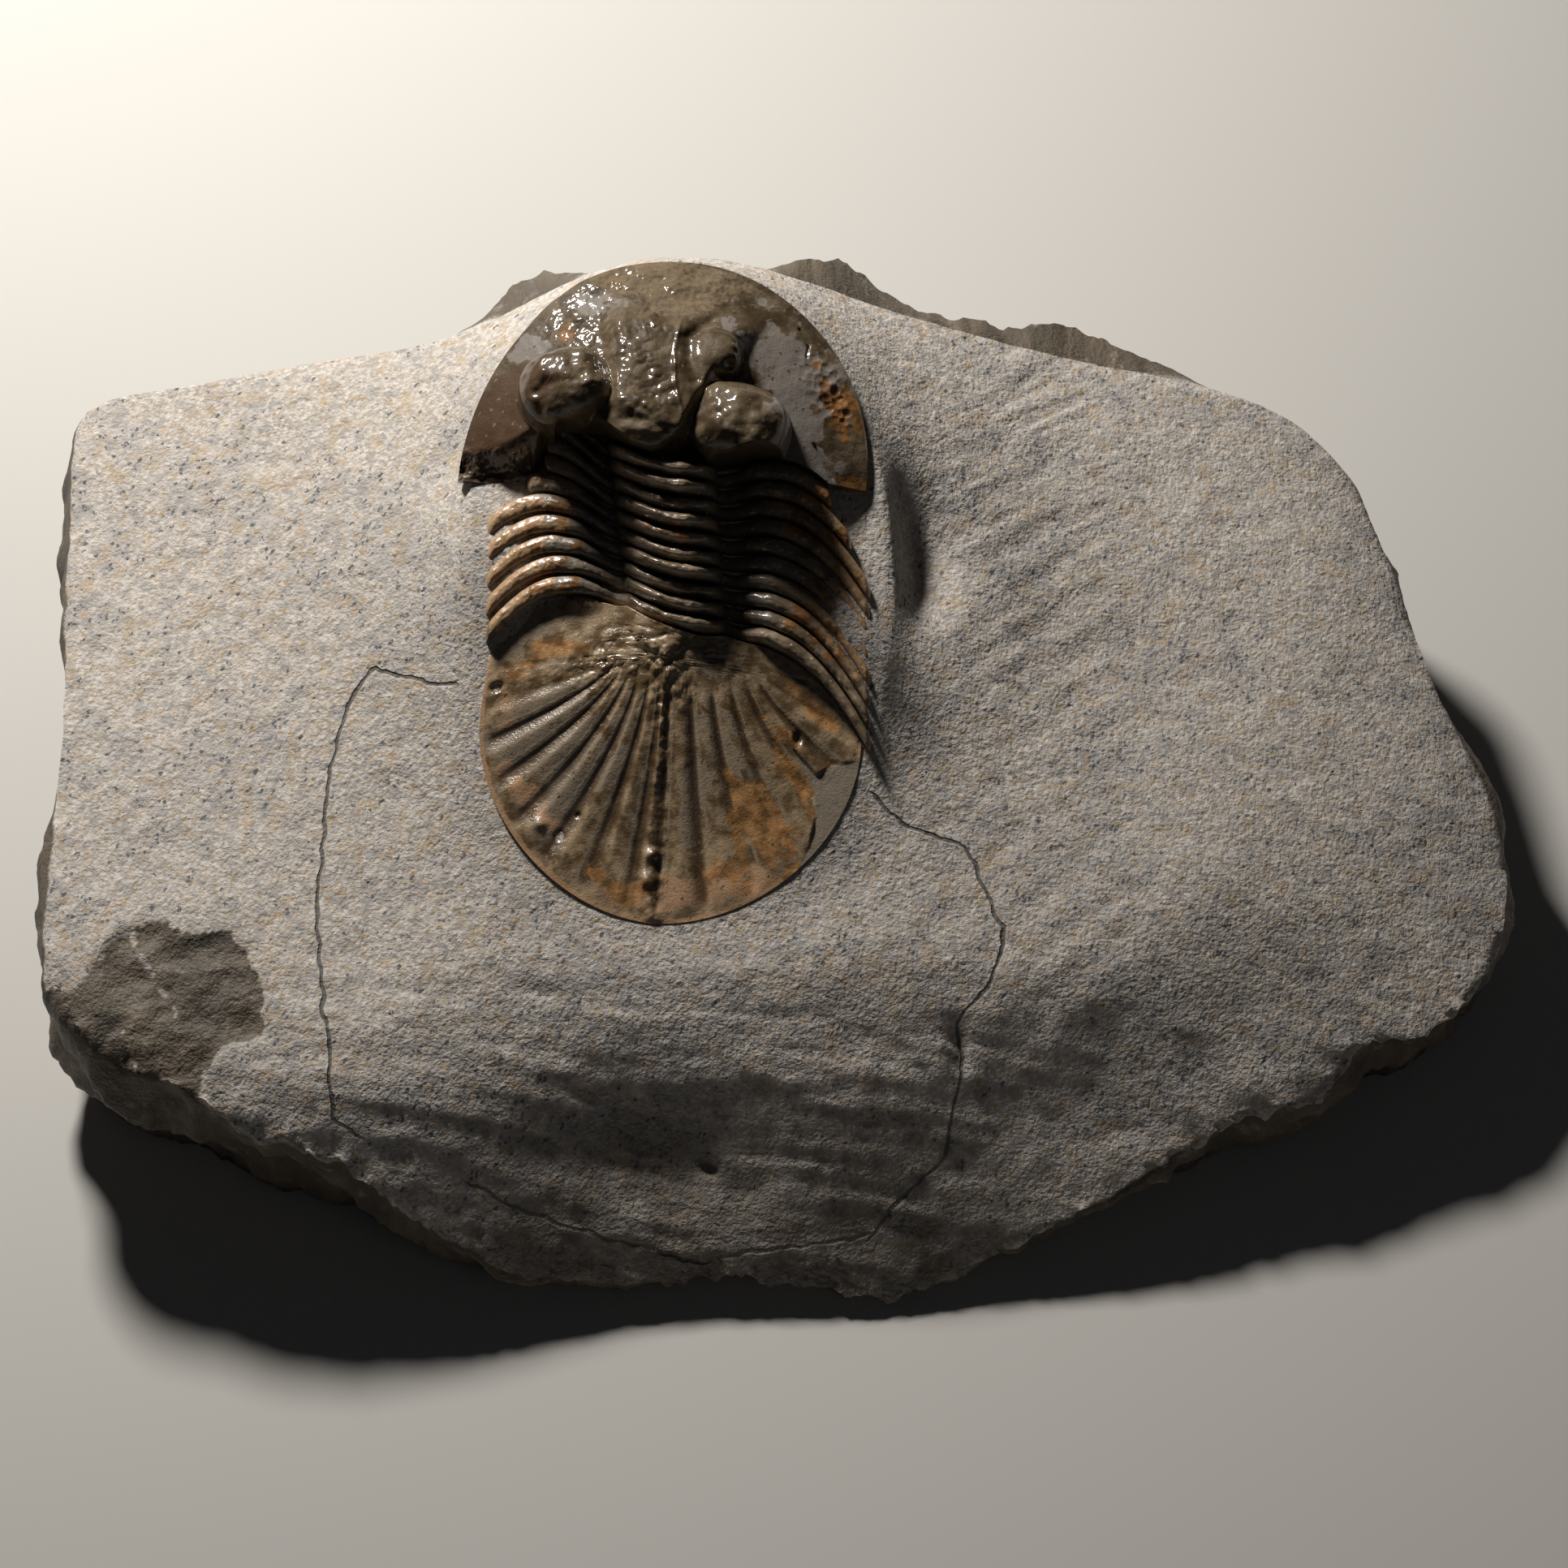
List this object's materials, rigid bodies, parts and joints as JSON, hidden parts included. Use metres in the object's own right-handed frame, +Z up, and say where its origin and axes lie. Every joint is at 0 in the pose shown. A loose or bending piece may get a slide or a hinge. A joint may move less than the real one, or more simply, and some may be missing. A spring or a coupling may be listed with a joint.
{
  "type": "trilobite fossil",
  "caption": "Fan-tailed trilobite fossil prepared on a sloping block of pale limestone, with head shield, thorax segments and ribbed tail shield.",
  "frame": {"origin": "centre of the block's bounding box, on the flat base that it rests on", "axes": "+X along the block's width, to the viewer's right; +Y towards the trilobite's head; +Z up"},
  "size_m": [0.1256, 0.085, 0.0407],
  "materials": {
    "limestone": "scraped pale limestone, dark and rough on the unworked outer faces",
    "shell": "petrified shell, dark brown with rust and grey patches, glossy"
  },
  "bodies": {
    "root": {"matrix": "limestone", "head_shield": "shell", "thorax_segment_01": "shell", "thorax_segment_02": "shell", "thorax_segment_03": "shell", "thorax_segment_04": "shell", "thorax_segment_05": "shell", "thorax_segment_06": "shell", "thorax_segment_07": "shell", "thorax_segment_08": "shell", "thorax_segment_09": "shell", "thorax_segment_10": "shell", "tail_shield": "shell"}
  },
  "joints": []
}
